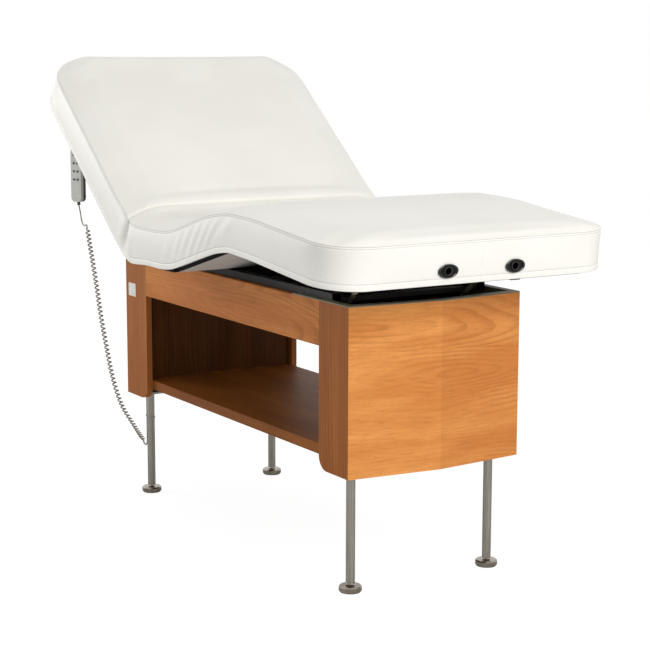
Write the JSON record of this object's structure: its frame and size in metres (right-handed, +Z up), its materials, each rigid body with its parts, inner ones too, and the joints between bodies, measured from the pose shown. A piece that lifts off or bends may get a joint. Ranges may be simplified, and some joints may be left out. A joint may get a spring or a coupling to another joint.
{
  "type": "electric massage table",
  "caption": "Electric massage table: wooden cabinet on steel legs, scissor lift, sectioned mattress with tilting back and knee rests, head cradle sockets and corded handset.",
  "frame": {"origin": "on the floor, below the middle of the table's outline without its cord", "axes": "+X across the table, +Y towards the head end with the back rest, +Z up"},
  "size_m": [0.864, 1.735, 1.3427],
  "materials": {
    "panel_wood": "satin",
    "stile_wood": "satin",
    "apron_wood": "satin",
    "inner_wood": "satin",
    "tray_board": "matte",
    "edge_trim": "satin",
    "leg_steel": "satin",
    "foot_metal": "polished",
    "black_frame": "satin",
    "bright_pin": "polished",
    "roller_nylon": "satin",
    "drive_grey": "satin",
    "black_plastic": "satin",
    "deck_board": "matte",
    "stay_metal": "satin",
    "ivory_vinyl": "satin",
    "socket_plastic": "gloss",
    "handset_light": "satin",
    "handset_dark": "satin",
    "button_dark": "matte",
    "cord_jacket": "satin"
  },
  "bodies": {
    "cabinet": {"end_panels": "panel_wood", "end_partitions": "inner_wood", "corner_stiles": "stile_wood", "side_aprons": "apron_wood", "shelf": "inner_wood", "mechanism_tray": "tray_board", "end_floors": "tray_board", "rim_trim": "edge_trim", "leg_tubes": "leg_steel", "leg_cross_bars": "leg_steel", "base_rails": "black_frame", "base_pivot_pins": "bright_pin", "control_box": "black_plastic", "lift_actuator": "drive_grey", "cord_gland": "black_plastic", "cord_clip": "leg_steel", "handset_cord": "cord_jacket"},
    "foot_front_left": {"foot_front_left": "foot_metal"},
    "foot_front_right": {"foot_front_right": "foot_metal"},
    "foot_rear_left": {"foot_rear_left": "foot_metal"},
    "foot_rear_right": {"foot_rear_right": "foot_metal"},
    "lift_rod": {"lift_rod": "bright_pin"},
    "outer_arms": {"outer_arms": "black_frame", "centre_studs": "bright_pin"},
    "inner_arms": {"inner_arms": "black_frame"},
    "upper_rollers": {"upper_rollers": "roller_nylon"},
    "lower_rollers": {"lower_rollers": "roller_nylon"},
    "top_frame": {"top_frame": "black_frame", "top_frame_pins": "bright_pin", "seat_deck": "deck_board", "seat_pad": "ivory_vinyl", "back_actuator": "drive_grey", "knee_actuator": "drive_grey", "crease_fold": "ivory_vinyl", "seat_fold": "ivory_vinyl"},
    "back_rod": {"back_rod": "bright_pin"},
    "knee_rod": {"knee_rod": "bright_pin"},
    "back_rest": {"back_frame": "black_frame", "back_deck": "deck_board", "back_pad": "ivory_vinyl"},
    "thigh_rest": {"thigh_frame": "black_frame", "thigh_deck": "deck_board", "thigh_pad": "ivory_vinyl", "knee_pins": "bright_pin", "knee_fold": "ivory_vinyl"},
    "leg_rest": {"leg_frame": "black_frame", "leg_deck": "deck_board", "leg_pad": "ivory_vinyl", "cradle_sockets": "socket_plastic"},
    "leg_stays": {"leg_struts": "stay_metal"},
    "handset": {"handset_front": "handset_light", "handset_back": "handset_dark"},
    "button_1": {"button_1": "button_dark"},
    "button_2": {"button_2": "button_dark"},
    "button_3": {"button_3": "button_dark"},
    "button_4": {"button_4": "button_dark"},
    "button_5": {"button_5": "button_dark"},
    "button_6": {"button_6": "button_dark"},
    "button_7": {"button_7": "button_dark"},
    "button_8": {"button_8": "button_dark"}
  },
  "joints": [
    {"name": "lift", "type": "slide", "parent": "cabinet", "child": "top_frame", "axis": [0, 0, 1], "range_m": [0, 0.23], "deforming": ["handset_cord"]},
    {"name": "outer_arm_swing", "type": "hinge", "parent": "cabinet", "child": "outer_arms", "pos_m": [0, 0.41933, 0.6666], "axis": [-1, 0, 0], "range_deg": [0, 14.9]},
    {"name": "inner_arm_swing", "type": "hinge", "parent": "top_frame", "child": "inner_arms", "pos_m": [0, 0.41933, 0.7304], "axis": [1, 0, 0], "range_deg": [0, 14.9]},
    {"name": "upper_roller_spin", "type": "hinge", "parent": "outer_arms", "child": "upper_rollers", "pos_m": [0, -0.47841, 0.7304], "axis": [1, 0, 0], "continuous": true},
    {"name": "lower_roller_spin", "type": "hinge", "parent": "inner_arms", "child": "lower_rollers", "pos_m": [0, -0.47841, 0.6666], "axis": [1, 0, 0], "continuous": true},
    {"name": "lift_rod_slide", "type": "slide", "parent": "cabinet", "child": "lift_rod", "axis": [0, 1, 0], "range_m": [0, 0.0195]},
    {"name": "back_tilt", "type": "hinge", "parent": "top_frame", "child": "back_rest", "pos_m": [0, 0.27233, 0.7645], "axis": [1, 0, 0], "range_deg": [-38.5, 31.5], "deforming": ["crease_fold", "handset_cord"]},
    {"name": "back_rod_slide", "type": "slide", "parent": "top_frame", "child": "back_rod", "axis": [0, 1, 0], "range_m": [-0.052, 0.0425]},
    {"name": "handset_swing", "type": "hinge", "parent": "back_rest", "child": "handset", "pos_m": [-0.387, 0.6935, 1.08801], "axis": [1, 0, 0], "range_deg": [-31.6, 38.6]},
    {"name": "thigh_tilt", "type": "hinge", "parent": "top_frame", "child": "thigh_rest", "pos_m": [0, -0.01467, 0.7645], "axis": [-1, 0, 0], "range_deg": [-15.8, 9.2], "deforming": ["seat_fold"]},
    {"name": "knee_rod_slide", "type": "slide", "parent": "top_frame", "child": "knee_rod", "axis": [0, -1, 0], "range_m": [-0.0195, 0.0115]},
    {"name": "leg_tilt", "type": "hinge", "parent": "thigh_rest", "child": "leg_rest", "pos_m": [0, -0.34086, 0.8568], "axis": [1, 0, 0], "range_deg": [-21.61, 12.6], "deforming": ["knee_fold"]},
    {"name": "leg_stay_swing", "type": "hinge", "parent": "leg_rest", "child": "leg_stays", "pos_m": [0, -0.6431, 0.82409], "axis": [-1, 0, 0], "range_deg": [-29.6, 17.3]},
    {"name": "button_1_press", "type": "slide", "parent": "handset", "child": "button_1", "axis": [0.9397, 0.342, 0], "range_m": [0, 0.0012], "stiffness_N_per_m": 400},
    {"name": "button_2_press", "type": "slide", "parent": "handset", "child": "button_2", "axis": [0.9397, 0.342, 0], "range_m": [0, 0.0012], "stiffness_N_per_m": 400},
    {"name": "button_3_press", "type": "slide", "parent": "handset", "child": "button_3", "axis": [0.9397, 0.342, 0], "range_m": [0, 0.0012], "stiffness_N_per_m": 400},
    {"name": "button_4_press", "type": "slide", "parent": "handset", "child": "button_4", "axis": [0.9397, 0.342, 0], "range_m": [0, 0.0012], "stiffness_N_per_m": 400},
    {"name": "button_5_press", "type": "slide", "parent": "handset", "child": "button_5", "axis": [0.9397, 0.342, 0], "range_m": [0, 0.0012], "stiffness_N_per_m": 400},
    {"name": "button_6_press", "type": "slide", "parent": "handset", "child": "button_6", "axis": [0.9397, 0.342, 0], "range_m": [0, 0.0012], "stiffness_N_per_m": 400},
    {"name": "button_7_press", "type": "slide", "parent": "handset", "child": "button_7", "axis": [0.9397, 0.342, 0], "range_m": [0, 0.0012], "stiffness_N_per_m": 400},
    {"name": "button_8_press", "type": "slide", "parent": "handset", "child": "button_8", "axis": [0.9397, 0.342, 0], "range_m": [0, 0.0012], "stiffness_N_per_m": 400},
    {"name": "foot_front_left_turn", "type": "hinge", "parent": "cabinet", "child": "foot_front_left", "pos_m": [-0.218, -0.61367, 0], "axis": [0, 0, 1], "continuous": true},
    {"name": "foot_front_right_turn", "type": "hinge", "parent": "cabinet", "child": "foot_front_right", "pos_m": [0.218, -0.61367, 0], "axis": [0, 0, 1], "continuous": true},
    {"name": "foot_rear_left_turn", "type": "hinge", "parent": "cabinet", "child": "foot_rear_left", "pos_m": [-0.218, 0.55633, 0], "axis": [0, 0, 1], "continuous": true},
    {"name": "foot_rear_right_turn", "type": "hinge", "parent": "cabinet", "child": "foot_rear_right", "pos_m": [0.218, 0.55633, 0], "axis": [0, 0, 1], "continuous": true}
  ],
  "couplings": [
    {"joint": "outer_arm_swing", "follows": "lift", "rad_per_m": 1.1245},
    {"joint": "inner_arm_swing", "follows": "lift", "rad_per_m": 1.1245},
    {"joint": "lift_rod_slide", "follows": "lift", "ratio": 0.0841},
    {"joint": "back_rod_slide", "follows": "back_tilt", "m_per_rad": 0.07635},
    {"joint": "handset_swing", "follows": "back_tilt", "ratio": -1},
    {"joint": "knee_rod_slide", "follows": "thigh_tilt", "m_per_rad": 0.0696},
    {"joint": "leg_tilt", "follows": "thigh_tilt", "ratio": 1.3671},
    {"joint": "leg_stay_swing", "follows": "thigh_tilt", "ratio": 1.8685}
  ]
}
